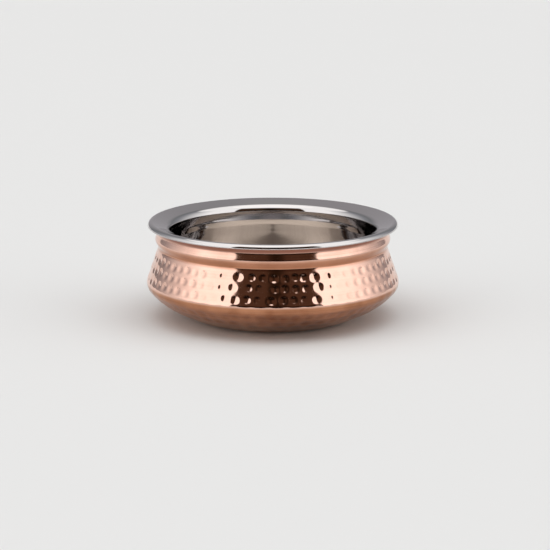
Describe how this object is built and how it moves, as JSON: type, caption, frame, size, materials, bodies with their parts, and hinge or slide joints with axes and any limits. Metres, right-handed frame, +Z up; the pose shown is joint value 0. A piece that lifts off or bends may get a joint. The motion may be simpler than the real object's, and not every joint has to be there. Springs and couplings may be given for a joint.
{
  "type": "handi pot",
  "caption": "Round-bellied serving pot: a steel bowl with a funnel lip hangs in a hammered copper shell, hemmed to it at the rim, to bring hot food to the table.",
  "frame": {"origin": "centre of the flat base, on the surface that the pot stands on", "axes": "+Z up along the pot's axis; +X and +Y are any two directions square to it, because the pot is round"},
  "size_m": [0.152, 0.152, 0.0583],
  "materials": {
    "hammered_copper": "hammered and polished copper",
    "polished_steel": "polished stainless steel"
  },
  "bodies": {
    "root": {"outer_copper_shell": "hammered_copper", "inner_steel_bowl": "polished_steel"}
  },
  "joints": []
}
